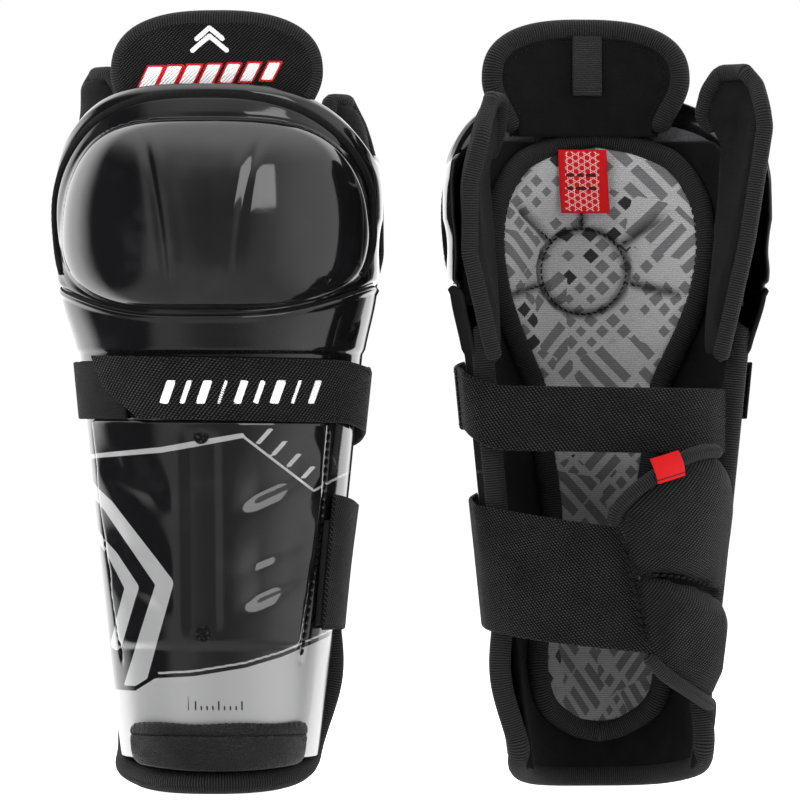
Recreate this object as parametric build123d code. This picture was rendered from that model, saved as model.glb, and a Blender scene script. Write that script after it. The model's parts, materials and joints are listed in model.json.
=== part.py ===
"""Two youth hockey shin guards for the right leg, standing side by side as a display pair.

Guard A turns its hard shells to the front (-Y). Guard B is the same guard turned round, so that its
padded inside and its straps show. Each guard is modelled once, in a frame of its own: Z runs up the
shin, X across it, Y from front to back, and the leg's axis is X = Y = 0. Millimetres throughout.
"""

from math import atan2, cos, degrees, hypot, radians, sin
import os

from build123d import *

# --- Driving dimensions -------------------------------------------------------------------------
knee_level = 240.0          # height of the knee's centre, where the guard is widest
ankle_half_width = 40.0     # half the shell's outer width at the ankle
knee_half_width = 66.0      # the same at the knee
ankle_depth = 41.0          # leg axis to the shell's front face at the ankle
knee_depth = 61.0           # the same at the knee
ankle_back = 40.0           # leg axis to the back of the leg-shaped wall at the ankle
knee_back = 75.0            # the same at the knee
taper_power = 0.85          # below 1, so the calf is fuller than a straight cone
crown_rise = 51.0           # knee centre to the level where the padding behind the knee cap is arched
crown_narrowing = 3.0       # how much the half width shrinks over crown_rise
crown_lean = 7.0            # how much the front leans back over crown_rise

shell_thickness = 2.0
shell_bottom = 14.5
shell_top = 213.0           # the tips of the ears at either side of the knee
rim_centre = 199.5          # the scooped rim of the shin shell at its middle
rim_rise = 12.5             # rise of that rim from its middle to the ears
shell_wrap = 105.0          # degrees from the front to the shell's rear edges
split_level = 203.0         # where the knee section flexes on the shin section
flex_gap = 0.6

# Layers, as distances outside the shell's outer face (negative is towards the leg)
foam_layer = (-6.6, -2.4)
washer_layer = (-7.7, -7.1)
carrier_layer = (-9.8, -8.3)
liner_layer = (-18.5, -10.2)
wing_layer = (-19.0, -10.2)
calf_layer = (-6.0, 3.0)
patch_layer = (0.3, 1.1)
hook_layer = (1.3, 2.0)
tab_layer = (2.0, 3.8)

rivet_levels = (67.0, 149.0)
rivet_shank_radius = 1.7
rivet_head_radius = 3.2
rivet_clearance = 0.2

cap_rise = 56.0             # knee centre to the top rim of the knee cap
dome_bulge = 14.0           # how far the knee dome stands in front of the leg-shaped wall
crown_power = 3.2           # of the superellipse that shapes the cap's arched edge; 2 would be round
flap_bottom = 282.5
flap_shoulder = 303.5       # where the thigh flap is widest
flap_top = 326.0
flap_half_widths = (37.0, 46.5, 43.5)   # at its bottom, shoulder and top
flap_corner_radius = 19.0
flap_curve = (75.0, 41.5)   # half width and depth of the ellipse that the thigh flap follows
flap_roll = 5.0             # half thickness of the flap's bound edge
loop_depth = 35.1           # leg axis to the middle of the pull loop
label_depth = 37.2          # leg axis to the middle of the hanging label
label_size = (21.0, 0.8, 27.0)
label_top = 270.5

upper_strap_levels = (148.0, 174.0)
upper_tab_levels = (154.0, 180.0)
lower_strap_levels = (62.0, 92.0, 121.0)
strap_thickness = 1.8

pair_spacing = 162.0        # between the two leg axes
display_turn = 7.0          # each guard is turned this many degrees from square
pair_shift = (-0.11, 0.0)    # brings the middle of the pair's footprint onto the origin

far = 200.0                 # longer than anything that a trimming prism has to pass


# --- The leg-shaped wall that every layer follows -------------------------------------------------
def crown_share(z):
    """0 up to the knee's centre, 1 at the top rim of the knee cap."""
    return max(0.0, (z - knee_level) / crown_rise) ** 2


def taper(z, ankle, knee):
    return ankle + (knee - ankle) * min(1.0, z / knee_level) ** taper_power


def half_width(z):
    return taper(z, ankle_half_width, knee_half_width) - crown_narrowing * crown_share(z)


def front_depth(z):
    return taper(z, ankle_depth, knee_depth) - crown_lean * crown_share(z)


def back_depth(z):
    return taper(z, ankle_back, knee_back)


def wall_point(z, angle, out, bulge=0.0):
    """A point at this height and angle (0 is the front, + towards +X), out mm outside the shell's face."""
    turn = radians(angle)
    if abs(angle) <= 90:
        y = -(front_depth(z) + out + bulge * cos(turn)) * cos(turn)
    else:
        y = -(back_depth(z) + out) * cos(turn)
    return Vector((half_width(z) + out) * sin(turn), y, z)


def evenly(start, end, count):
    return [start + (end - start) * i / (count - 1) for i in range(count)]


# --- Shapes that every sub-part is made from ------------------------------------------------------
def strip_face(outer_points, inner_points):
    """The flat face between two rows of points."""
    outer = Spline(*outer_points)
    inner = Spline(*inner_points)
    return make_face([outer, Line(outer @ 1, inner @ 1), inner, Line(inner @ 0, outer @ 0)])


def wrapped(levels, layer, start, end, bulges=None, count=11):
    """A panel that follows the leg-shaped wall between two angles, lofted through these heights."""
    inner, outer = layer
    angles = evenly(start, end, count)
    faces = []
    for i, z in enumerate(levels):
        bulge = bulges[i] if bulges else 0.0
        faces.append(strip_face([wall_point(z, a, outer, bulge) for a in angles],
                                [wall_point(z, a, inner, bulge) for a in angles]))
    return loft(faces)


def ribbon(levels, path, thickness):
    """A flexible strap: path(z) gives the points along its middle at that height."""
    faces = []
    for z in levels:
        middle = path(z)
        sides = {1: [], -1: []}
        for i, (x, y) in enumerate(middle):
            before, after = middle[max(0, i - 1)], middle[min(len(middle) - 1, i + 1)]
            dx, dy = after[0] - before[0], after[1] - before[1]
            length = hypot(dx, dy)
            for side, row in sides.items():
                reach = side * thickness / 2 / length
                row.append(Vector(x - dy * reach, y + dx * reach, z))
        faces.append(strip_face(sides[1], sides[-1]))
    return loft(faces)


def front_prism(outline):
    """Everything in front of and behind an outline drawn in the X-Z plane."""
    return extrude(outline, amount=2 * far, dir=(0, 1, 0))


def on_front(x, z):
    return Vector(x, -far, z)


def polygon_prism(corners):
    points = [on_front(x, z) for x, z in corners]
    return front_prism(make_face(Polyline(*points, close=True)))


def rim_prism(lift):
    """The space below the shin shell's scooped rim, raised by lift."""
    tip = knee_half_width + 6
    tip_level = rim_centre + rim_rise * (tip / knee_half_width) ** 2 + lift
    rim = ThreePointArc(on_front(-tip, tip_level), on_front(0, rim_centre + lift), on_front(tip, tip_level))
    sides = Polyline(rim @ 1, on_front(tip, -far), on_front(-tip, -far), rim @ 0)
    return front_prism(make_face([rim, sides]))


def crown_prism(inset, rise):
    """An arched front outline that reaches rise above the knee's centre, drawn in at its sides by inset."""
    half = knee_half_width + 1.5 - inset
    points = []
    for turn in evenly(0, 180, 17):
        across = abs(cos(radians(turn))) ** (2 / crown_power)
        up = sin(radians(turn)) ** (2 / crown_power)
        points.append(on_front(half * across * (1 if turn <= 90 else -1), knee_level + rise * up))
    arch = Spline(*points)
    sides = Polyline(arch @ 1, on_front(-half, 150), on_front(half, 150), arch @ 0)
    return front_prism(make_face([arch, sides]))


def flap_prism(inset):
    """The thigh flap's outline: narrow at its base, flared, with round top corners."""
    base, shoulder, top = flap_half_widths
    right = [(base, flap_bottom), (shoulder, flap_shoulder), (top, flap_top)]
    left = [(-x, z) for x, z in reversed(right)]
    sheet = make_face(Polyline(*[on_front(x, z) for x, z in right + left], close=True))
    for level in (flap_shoulder, flap_top):
        corners = [vertex for vertex in sheet.vertices() if abs(vertex.Z - level) < 0.01]
        sheet = fillet(corners, flap_corner_radius)
    if inset:
        sheet = offset(sheet, -inset)
    return front_prism(sheet)


def flap_layer(near, reach):
    """A sheet that follows the thigh flap's gentle curve, from near to reach outside its middle surface."""
    half, depth = flap_curve
    faces = []
    for z in (flap_bottom - 1, flap_top + 1):
        rows = []
        for out in (reach, near):
            rows.append([Vector((half + out) * sin(radians(a)), -(depth + out) * cos(radians(a)), z)
                         for a in evenly(-42, 42, 9)])
        faces.append(strip_face(*rows))
    return loft(faces, ruled=True)


def across_front(z, near, reach, radius):
    """A cylinder on the middle of the shin's front, along Y, between two distances outside the shell."""
    start = Vector(0, -(front_depth(z) + reach), z)
    return extrude(Plane(origin=start, z_dir=(0, 1, 0)) * Circle(radius), amount=reach - near)


# --- Shin section -----------------------------------------------------------------------------------
def shin_shell():
    body = wrapped((shell_bottom, 50, 100, 150, 190, shell_top), (-shell_thickness, 0),
                   -shell_wrap, shell_wrap, count=15)
    body = body & rim_prism(0)
    for z in rivet_levels:
        body -= across_front(z, -4, 4, rivet_shank_radius + rivet_clearance)
    return body


def shin_foam():
    body = wrapped((29, 80, 140, 197), foam_layer, -82, 82)
    for z in rivet_levels:
        body -= across_front(z, -9, 0, rivet_shank_radius + 2 * rivet_clearance)
    return body


def rivets():
    """Two tubular rivets, each a flat head on a shank that reaches the washer."""
    group = []
    for z in rivet_levels:
        head = across_front(z, 0.4, 1.2, rivet_head_radius)
        group.append(head + across_front(z, washer_layer[0], 0.4, rivet_shank_radius))
    return group


def rivet_washers():
    group = []
    for z in rivet_levels:
        ring = across_front(z, *washer_layer, 4.0)
        group.append(ring - across_front(z, -12, 0, rivet_shank_radius + rivet_clearance))
    return group


def toe_binding():
    """A folded leather strip sewn over the shell's bottom edge."""
    body = wrapped((12.9, 28), (-3.9, 1.7), -66, 66)
    return body - wrapped((14.1, 30), (-2.3, 0.3), -70, 70)


def shin_carrier():
    return wrapped((13.5, 60, 110, 160, split_level - flex_gap), carrier_layer, -shell_wrap, shell_wrap)


def shin_liner():
    return wrapped((22, 70, 120, 165, split_level - flex_gap), liner_layer, -72, 72)


def base_roll():
    """The padded roll along the carrier's bottom edge, flat where the guard stands on it."""
    return wrapped((0, 6, 12.5), (-15, -5), -100, 100)


def upper_loop_patch():
    return wrapped((157, 177), patch_layer, -97, -32)


def lower_loop_patch():
    return wrapped((70, 114), patch_layer, 60, 98)


# --- Knee section -----------------------------------------------------------------------------------
def knee_cap():
    """The domed cap. Its lower edge drops behind the shin shell's ears."""
    levels = (split_level + flex_gap, 214, 228, knee_level, 258, 276, knee_level + cap_rise + 2)
    bulges = (4.0, 9.5, 13.0, dome_bulge, 12.5, 7.0, 0.5)
    body = wrapped(levels, (-2.4, -0.2), -98, 98, bulges, count=15)
    body = body & crown_prism(0, cap_rise)
    ear_room = wrapped((194, 204, 218), (-2.6, 30), -120, 120, count=15) & rim_prism(1.0)
    return largest(body - ear_room)


def largest(shape):
    """Drops the slivers that a trim can leave beside the piece itself."""
    return max(shape.solids(), key=lambda solid: solid.volume)


def cap_foam():
    body = wrapped((split_level + flex_gap, 225, 250, 281), (-7.6, -3.0), -86, 86)
    return body & crown_prism(8, crown_rise - 8)


def knee_carrier():
    body = wrapped((split_level + flex_gap, 225, 250, 281), carrier_layer, -shell_wrap, shell_wrap)
    return body & crown_prism(7, crown_rise - 7)


def knee_liner():
    body = wrapped((split_level + flex_gap, 225, 250, 279), liner_layer, -74, 74)
    return body & crown_prism(12, crown_rise - 12)


def size_label():
    """A woven tape that hangs from the top edge of the liner."""
    return Pos(0, -label_depth, label_top - label_size[2] / 2) * Box(*label_size)


def knee_wing(side, top, rear_angle):
    """A padded side wing behind the shell's rear edge, with a rounded top."""
    body = wrapped((184, 215, 250, 280, top), wing_layer, side * 106.5, side * rear_angle)
    outline = Spline(Vector(-far, 12, 182), Vector(-far, 31, 190), Vector(-far, 48, 235),
                     Vector(-far, 40, top - 12), Vector(-far, 22, top - 0.5), Vector(-far, 12, top - 4))
    face = make_face([outline, Line(outline @ 1, outline @ 0)])
    return largest(body & extrude(face, amount=2 * far, dir=(1, 0, 0)))


def lateral_wing():
    return knee_wing(-1, 304, 129)


def medial_wing():
    return knee_wing(1, 293, 127)


# --- Thigh flap ---------------------------------------------------------------------------------------
def flap_binding():
    """The padded roll that binds the flap's edge."""
    return (flap_layer(-flap_roll, flap_roll) & flap_prism(0)) - flap_prism(6)


def flap_core():
    return flap_layer(-2.6, 1.6) & flap_prism(6.4)


def flap_front():
    return flap_layer(2.0, 3.6) & flap_prism(6.4)


def flap_lining():
    return flap_layer(-4.4, -3.0) & flap_prism(6.4)


def pull_loop():
    """A ribbon folded back on itself, hanging from the flap's top binding."""
    outside = Pos(0, -loop_depth, 304.5) * Box(12.5, 3.2, 25)
    return outside - Pos(0, -loop_depth, 304.5) * Box(14, 1.4, 23)


# --- Calf wing and straps -------------------------------------------------------------------------------
calf_hinge_angle = -108.5


def calf_panel(corners):
    body = wrapped((38, 70, 105, 142), calf_layer, calf_hinge_angle, -186, count=13)
    return largest(body & polygon_prism(corners))


def calf_pad_upper():
    return calf_panel([(-70, 139.5), (-26, 139.5), (1.5, 113), (-1.5, 110), (-8, 97.2), (-70, 84.5)])


def calf_pad_lower():
    return calf_panel([(-70, 83.5), (-8.5, 96.2), (-18.5, 63), (-44, 42), (-70, 42)])


def calf_piping():
    """The rolled edges above and below the calf pads."""
    roll = (-5.0, 2.0)
    top = wrapped((140, 146), roll, calf_hinge_angle - 2, -152)
    bottom = wrapped((35.5, 41.5), roll, calf_hinge_angle - 2, -142)
    return [top, bottom]


def calf_tag():
    return wrapped((129, 139), (3.3, 4.2), -147, -159, count=5)


def lower_strap_path(z):
    """From the seam at the back, round the leg, and forward outside the shell's +X wall."""
    wall_out = 3.2
    across = [(-24, 46.5), (-8, 48.0), (10, 46.5), (28, 39.0), (43, 28.0)]
    outside = [wall_point(z, a, wall_out) for a in (103, 94, 84, 74, 64)]
    return across + [(p.X, p.Y) for p in outside]


def lower_strap():
    body = ribbon(lower_strap_levels, lower_strap_path, strap_thickness)
    seam = polygon_prism([(-0.5, 112.2), (90, 122), (90, 60), (-17.3, 60), (-17.3, 63.5), (-7.3, 97)])
    return largest(body & seam)


def lower_hook():
    return wrapped((68, 116), hook_layer, 64, 97)


def upper_strap_path(z):
    """From the inside of the -X wall, across the back, and round the +X wall's rear edge."""
    wall_out = 2.9
    across = [(-47.5, 19.5), (-38, 31.0), (-22, 39.0), (0, 42.0), (22, 39.5), (42, 32.0), (54, 24.0)]
    outside = [wall_point(z, a, wall_out) for a in (103, 97, 91.5)]
    return across + [(p.X, p.Y) for p in outside]


def upper_strap():
    return ribbon(upper_strap_levels, upper_strap_path, strap_thickness)


def upper_tab():
    """The strap's free end: across the front, cut at a slant where it grips the loop patch."""
    body = wrapped(upper_tab_levels, tab_layer, -58, 89.5, count=13)
    low, high = upper_tab_levels
    return body & polygon_prism([(-39, low - 1), (-51, high + 1), (90, high + 1), (90, low - 1)])


# --- Assembly -----------------------------------------------------------------------------------------
sub_parts = (
    shin_shell, shin_foam, rivets, rivet_washers, toe_binding, shin_carrier, shin_liner, base_roll,
    upper_loop_patch, lower_loop_patch, knee_cap, cap_foam, knee_carrier, knee_liner, size_label,
    lateral_wing, medial_wing, flap_binding, flap_core, flap_front, flap_lining, pull_loop,
    calf_pad_upper, calf_pad_lower, calf_piping, calf_tag, lower_strap, lower_hook, upper_strap, upper_tab,
)

places = {
    "a": Location((pair_shift[0] - pair_spacing / 2, pair_shift[1], 0), (0, 0, -display_turn)),
    "b": Location((pair_shift[0] + pair_spacing / 2, pair_shift[1], 0), (0, 0, 180 + display_turn)),
}


def main():
    os.makedirs("parts", exist_ok=True)
    for make in sub_parts:
        made = make()
        solids = made if isinstance(made, list) else made.solids()
        solids = [solid for piece in solids for solid in piece.solids()]
        for guard, place in places.items():
            placed = Compound(children=[solid.moved(place) for solid in solids])
            export_step(placed, f"parts/{guard}_{make.__name__}.step")


main()
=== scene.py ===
import json
from math import atan2, cos, pi, radians, sin

import bmesh
import bpy
import numpy as np
from mathutils import Matrix, Vector


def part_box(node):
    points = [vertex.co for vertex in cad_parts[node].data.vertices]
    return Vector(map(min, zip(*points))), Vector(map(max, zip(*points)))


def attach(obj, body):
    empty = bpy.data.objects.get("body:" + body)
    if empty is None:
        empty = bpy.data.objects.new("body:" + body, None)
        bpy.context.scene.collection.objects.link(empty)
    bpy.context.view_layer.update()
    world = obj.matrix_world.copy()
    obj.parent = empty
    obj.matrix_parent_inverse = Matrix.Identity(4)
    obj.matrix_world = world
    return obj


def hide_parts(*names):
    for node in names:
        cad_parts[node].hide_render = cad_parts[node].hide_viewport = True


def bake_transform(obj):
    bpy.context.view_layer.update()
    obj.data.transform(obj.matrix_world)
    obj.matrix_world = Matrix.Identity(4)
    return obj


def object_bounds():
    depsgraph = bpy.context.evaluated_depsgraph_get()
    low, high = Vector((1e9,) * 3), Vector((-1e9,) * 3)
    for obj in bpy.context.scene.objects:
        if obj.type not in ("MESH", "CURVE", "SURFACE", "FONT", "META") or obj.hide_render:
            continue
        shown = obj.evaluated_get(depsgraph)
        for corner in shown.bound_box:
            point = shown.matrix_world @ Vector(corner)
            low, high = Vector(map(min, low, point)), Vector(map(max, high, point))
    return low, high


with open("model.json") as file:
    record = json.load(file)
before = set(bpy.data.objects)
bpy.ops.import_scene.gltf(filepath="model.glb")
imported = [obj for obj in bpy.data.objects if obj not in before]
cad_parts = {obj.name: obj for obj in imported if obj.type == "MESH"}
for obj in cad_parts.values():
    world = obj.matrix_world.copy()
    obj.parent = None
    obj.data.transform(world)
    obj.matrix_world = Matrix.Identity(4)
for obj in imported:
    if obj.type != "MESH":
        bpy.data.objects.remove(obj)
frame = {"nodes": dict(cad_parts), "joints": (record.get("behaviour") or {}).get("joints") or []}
cad_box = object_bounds()

# The visible surfaces of a pair of hockey shin guards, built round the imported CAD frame.
# Both guards are the same object, so each piece is made once, in millimetres in the guard's own frame
# (Z up the shin, X across it, -Y its hard front, the leg's axis at X = Y = 0), and is then placed twice.

joints = {joint["name"]: joint for joint in frame["joints"]}
GUARDS = ("a", "b")
MM = 0.001
KNEE_PIVOT = (0.0, 20.0, 203.0)     # the knee_flex joint in the guard's own frame
TURNED = radians(7)                 # how far a guard is turned in the row
LEG_RADIUS = 55.0                   # lays plain cloth flat round the leg


# --- The leg-shaped wall ---
def smooth(x):
    """0 below 0, 1 above 1, and an even curve between them."""
    t = np.clip(x, 0, 1)
    return t * t * (3 - 2 * t)


def hump(distance, width):
    """1 on a line, fading over width mm to either side."""
    return np.exp(-(np.asarray(distance) / width) ** 2)


KNEE, CROWN, RIM = 240.0, 51.0, 199.0       # the knee's centre, the arch's rise above it, the shell's rim
KNEE_HALF = 66.0                            # half the wall's width at the knee


def crown_share(z):
    return np.maximum(0.0, (z - KNEE) / CROWN) ** 2


def taper(z):
    return np.clip(z / KNEE, 0, 1) ** 0.85


def half_width(z):
    return 40 + 26 * taper(z) - 3 * crown_share(z)


def front_depth(z):
    return 41 + 20 * taper(z) - 7 * crown_share(z)


def back_depth(z):
    return 40 + 35 * taper(z)


def wall(z, angle, out):
    """Points at these heights and angles (0 is the front, + towards +X), out mm outside the shell's face."""
    z, angle, out = np.broadcast_arrays(np.asarray(z, float), angle, out)
    turn = np.radians(angle)
    depth = np.where(np.abs(angle) <= 90, front_depth(z), back_depth(z))
    return np.stack([(half_width(z) + out) * np.sin(turn), -(depth + out) * np.cos(turn), z], -1)


def angle_at(x, z, out):
    """The angle at which the wall's front half reaches x."""
    return np.degrees(np.arcsin(np.clip(x / (half_width(z) + out), -1, 1)))


def seen_x(points):
    """How far to the right a point of the turned guard appears from straight in front."""
    return points[..., 0] * cos(TURNED) + points[..., 1] * sin(TURNED)


def rim_level(x):
    return RIM + 14.5 * (np.abs(x) / KNEE_HALF) ** 3.2


def side_flare(z, angle):
    """The shell's ears and the cap's sides stand off the plain wall, more so on the lateral side."""
    height = smooth((z - 180) / 30) * smooth((288 - z) / 45)
    return height * (2.9 * smooth((np.abs(angle) - 30) / 45) + 1.8 * smooth((-angle - 40) / 45))


# --- Mesh making ---
class Shape:
    """A mesh in the making: points in mm, faces, and values per point for its material."""

    def __init__(self, points, faces, **values):
        self.points = np.asarray(points, float).reshape(-1, 3)
        self.faces = faces
        self.values = values


def joined(shapes):
    """One shape made of several that hold the same values."""
    faces, count = [], 0
    for shape in shapes:
        faces += [tuple(i + count for i in face) for face in shape.faces]
        count += len(shape.points)
    values = {name: np.concatenate([shape.values[name] for shape in shapes]) for name in shapes[0].values}
    return Shape(np.concatenate([shape.points for shape in shapes]), faces, **values)


def spaced(start, end, count, ends=0.6):
    """Values from start to end, closer together near both ends."""
    t = np.linspace(0, 1, count)
    t = (1 - ends) * t + ends * (0.5 - 0.5 * np.cos(pi * t))
    return start + (end - start) * t


def normals_of(grid):
    down, across = np.gradient(grid, axis=0), np.gradient(grid, axis=1)
    normal = np.cross(across, down)
    return normal / np.maximum(np.linalg.norm(normal, axis=-1, keepdims=True), 1e-9)


def border_distance(grid):
    """Each grid point's distance to the nearest border, along the grid's lines."""
    steps = [np.linalg.norm(np.diff(grid, axis=axis), axis=-1) for axis in (0, 1)]
    best = np.full(grid.shape[:2], 1e9)
    for axis, step in enumerate(steps):
        walked = np.insert(np.cumsum(step, axis=axis), 0, 0, axis=axis)
        total = np.take(walked, [-1], axis=axis)
        best = np.minimum(best, np.minimum(walked, total - walked))
    return best


def slab(front, back, sheet):
    """A closed sheet between two grids of points; sheet is each point's place on it, in mm."""
    rows, cols = front.shape[:2]
    index = np.arange(rows * cols).reshape(rows, cols)
    quads = np.stack([index[:-1, :-1], index[:-1, 1:], index[1:, 1:], index[1:, :-1]], -1).reshape(-1, 4)
    loop = np.concatenate([index[0, :], index[1:, -1], index[-1, -2::-1], index[-2:0:-1, 0]])
    after = np.roll(loop, -1)
    count = rows * cols
    rim = np.stack([loop, loop + count, after + count, after], -1)
    faces = np.concatenate([quads[:, ::-1], quads + count, rim]).tolist()
    points = np.concatenate([front.reshape(-1, 3), back.reshape(-1, 3)])
    places = np.concatenate([sheet.reshape(-1, 2)] * 2)
    return Shape(points, faces, sheet=np.column_stack([places, np.zeros(len(places))]))


def pad(middle, thickness, edge, sheet):
    """A closed sheet round a grid of middle points, rounded off within edge mm of its borders."""
    near = np.clip(border_distance(middle) / edge, 0, 1)
    half = (thickness / 2 * np.sqrt(1 - (1 - near) ** 2))[..., None]
    normal = normals_of(middle)
    return slab(middle + normal * half, middle - normal * half, sheet)


def unrolled(z, angle, radius):
    """Each point's place on a sheet that wraps round the leg at this radius."""
    return np.stack([np.radians(angle) * radius, z], -1)


def on_wall(z, angle, out, thickness, edge):
    """A padded or hard sheet on the leg-shaped wall."""
    z, angle = np.broadcast_arrays(z, angle)
    return pad(wall(z, angle, out), thickness, edge, unrolled(z, angle, LEG_RADIUS))


def tube(path, radius, sides=12, flatten=1.0):
    """A roll with round ends along a path; its sheet runs along the roll and round it."""
    path = np.asarray(path, float)
    step = np.linalg.norm(np.diff(path, axis=0), axis=1)
    along = np.insert(np.cumsum(step), 0, 0)
    radius = np.broadcast_to(np.asarray(radius, float), along.shape)
    ends = np.clip(np.minimum(along, along[-1] - along) / radius, 0, 1)
    radius = radius * np.sqrt(np.maximum(1 - (1 - ends) ** 2, 0.0025))
    tangent = np.gradient(path, axis=0)
    tangent /= np.linalg.norm(tangent, axis=1, keepdims=True)
    side = np.cross(tangent, [0.13, 0.21, 0.97])
    for i in range(1, len(side)):
        side[i] = side[i - 1] - tangent[i] * (side[i - 1] @ tangent[i])
        side[i] /= np.linalg.norm(side[i])
    side[0] /= np.linalg.norm(side[0])
    other = np.cross(tangent, side)
    turn = np.linspace(0, 2 * pi, sides, endpoint=False)
    ring = side[:, None] * np.cos(turn)[:, None] + other[:, None] * (np.sin(turn) * flatten)[:, None]
    points = path[:, None] + ring * radius[:, None, None]
    index = np.arange(len(path) * sides).reshape(len(path), sides)
    over = np.roll(index, -1, axis=1)
    quads = np.stack([index[:-1], over[:-1], over[1:], index[1:]], -1).reshape(-1, 4).tolist()
    caps = [index[0][::-1].tolist(), index[-1].tolist()]
    sheet = np.zeros((len(path), sides, 3))
    sheet[..., 0] = along[:, None]
    sheet[..., 1] = turn * radius.max()
    return Shape(points, quads + caps, sheet=sheet.reshape(-1, 3))


def resample(path, pitch):
    """Points every pitch mm along a path."""
    path = np.asarray(path, float)
    along = np.insert(np.cumsum(np.linalg.norm(np.diff(path, axis=0), axis=1)), 0, 0)
    stops = np.linspace(0, along[-1], max(2, int(along[-1] / pitch) + 1))
    return np.stack([np.interp(stops, along, path[:, k]) for k in range(3)], -1)


def smooth_line(corners, pitch=1.0):
    """A smooth line through flat points, as a Catmull-Rom curve."""
    points = np.asarray(corners, float)
    padded = np.vstack([2 * points[0] - points[1], points, 2 * points[-1] - points[-2]])
    line = []
    for p0, p1, p2, p3 in zip(padded[:-3], padded[1:-2], padded[2:-1], padded[3:]):
        for t in np.linspace(0, 1, 12, endpoint=False):
            line.append(0.5 * (2 * p1 + (p2 - p0) * t + (2 * p0 - 5 * p1 + 4 * p2 - p3) * t ** 2
                               + (3 * p1 - p0 - 3 * p2 + p3) * t ** 3))
    line.append(points[-1])
    line = np.column_stack([line, np.zeros(len(line))])
    return resample(line, pitch)[:, :2]


def stitches(path, pitch=3.2, length=2.4, radius=0.38, slant=0.0):
    """Separate short threads along a path, each a little sunk at its ends.

    pitch, length and radius are in mm; slant turns each thread off the path, in radians."""
    spots = resample(path, pitch)
    tangent = np.gradient(spots, axis=0)
    tangent /= np.linalg.norm(tangent, axis=1, keepdims=True)
    outward = spots * [1, 1, 0]
    outward /= np.maximum(np.linalg.norm(outward, axis=1, keepdims=True), 1e-6)
    across = np.cross(outward, tangent)
    threads = []
    for spot, along, side, out in zip(spots, tangent, across, outward):
        way = along * cos(slant) + side * sin(slant)
        reach = np.linspace(-0.5, 0.5, 7)[:, None]
        threads.append(tube(spot + way * reach * length - out * (reach * 2) ** 2 * radius * 1.2, radius, 6))
    return joined(threads)


def made_mesh(name, shape, material):
    mesh = bpy.data.meshes.new(name)
    mesh.from_pydata((shape.points * MM).tolist(), [], shape.faces)
    for label, value in shape.values.items():
        vector = value.ndim == 2
        layer = mesh.attributes.new(label, "FLOAT_VECTOR" if vector else "FLOAT", "POINT")
        layer.data.foreach_set("vector" if vector else "value", value.astype(np.float32).ravel())
    work = bmesh.new()
    work.from_mesh(mesh)
    bmesh.ops.remove_doubles(work, verts=work.verts, dist=1e-6)
    bmesh.ops.recalc_face_normals(work, faces=work.faces)
    work.to_mesh(mesh)
    work.free()
    mesh.polygons.foreach_set("use_smooth", [True] * len(mesh.polygons))
    mesh.materials.append(material)
    return mesh


def guard_matrix(guard):
    """The guard's own frame in the row frame, in metres, read from its knee joint."""
    joint = joints[f"{guard}_knee_flex"]
    yaw = atan2(-joint["axis"][1], -joint["axis"][0])
    turn = Matrix.Rotation(yaw, 4, "Z")
    origin = Vector(joint["pos_m"]) - turn @ (Vector(KNEE_PIVOT) * MM)
    return Matrix.Translation(origin) @ turn


places = {guard: guard_matrix(guard) for guard in GUARDS}


def place(name, shape, material, body, stands_for=(), bend=None):
    """Puts a piece on both guards. bend is (other body, start, end) for fabric that crosses a joint; such a
    piece is attached to no body, and bend's parts are not used.
    """
    mesh = made_mesh(name, shape, material)
    for guard, matrix in places.items():
        own = mesh.copy()
        own.transform(matrix)
        piece = bpy.data.objects.new(f"{guard}_{name}", own)
        bpy.context.scene.collection.objects.link(piece)
        if bend:
            other, start, end = bend
            start, end = (matrix @ (Vector(point) * MM) for point in (start, end))
            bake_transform(piece)
        else:
            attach(piece, f"{guard}_{body}")
        if stands_for:
            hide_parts(*[f"{guard}_{node}" for node in stands_for])
    bpy.data.meshes.remove(mesh)


def inflate(shape, voxel=3.6, pressure=4.0, cap=3.0, frames=20):
    """Swells a closed shape by cloth simulation, moving no point more than cap mm."""
    mesh = bpy.data.meshes.new("case")
    mesh.from_pydata((shape.points * MM).tolist(), [], shape.faces)
    case = bpy.data.objects.new("case", mesh)
    bpy.context.scene.collection.objects.link(case)
    remesh = case.modifiers.new("even", "REMESH")
    remesh.mode, remesh.voxel_size = "VOXEL", voxel * MM
    start = settled(case)
    case.modifiers.clear()
    case.data = start
    cloth = case.modifiers.new("cloth", "CLOTH")
    cloth.settings.use_pressure = True
    cloth.settings.uniform_pressure_force = pressure
    cloth.settings.effector_weights.gravity = 0
    cloth.settings.tension_stiffness = cloth.settings.compression_stiffness = 25
    cloth.point_cache.frame_start, cloth.point_cache.frame_end = 1, frames
    for step in range(1, frames + 1):
        bpy.context.scene.frame_set(step)
    end = settled(case)
    bpy.context.scene.frame_set(1)
    before, after = points_of(start), points_of(end)
    move = after - before
    size = np.linalg.norm(move, axis=1, keepdims=True)
    after = before + move * np.minimum(1, cap / np.maximum(size, 1e-6))
    end.vertices.foreach_set("co", (after * MM).astype(np.float32).ravel())
    case.modifiers.clear()
    case.data = end
    finer = case.modifiers.new("finer", "SUBSURF")
    finer.levels = 1
    final = settled(case)
    faces = [tuple(polygon.vertices) for polygon in final.polygons]
    points = points_of(final)
    bpy.data.objects.remove(case)
    return Shape(points, faces, sheet=wrapped_sheet(points))


def settled(obj):
    """A copy of an object's mesh with its modifiers applied."""
    graph = bpy.context.evaluated_depsgraph_get()
    return bpy.data.meshes.new_from_object(obj.evaluated_get(graph))


def points_of(mesh):
    flat = np.zeros(len(mesh.vertices) * 3, np.float32)
    mesh.vertices.foreach_get("co", flat)
    return flat.reshape(-1, 3).astype(float) / MM


def wrapped_sheet(points):
    """Each point's place on cloth that wraps round the leg."""
    angle = np.arctan2(points[:, 0], -points[:, 1])
    return np.column_stack([angle * LEG_RADIUS, points[:, 2], np.zeros(len(points))])


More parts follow.
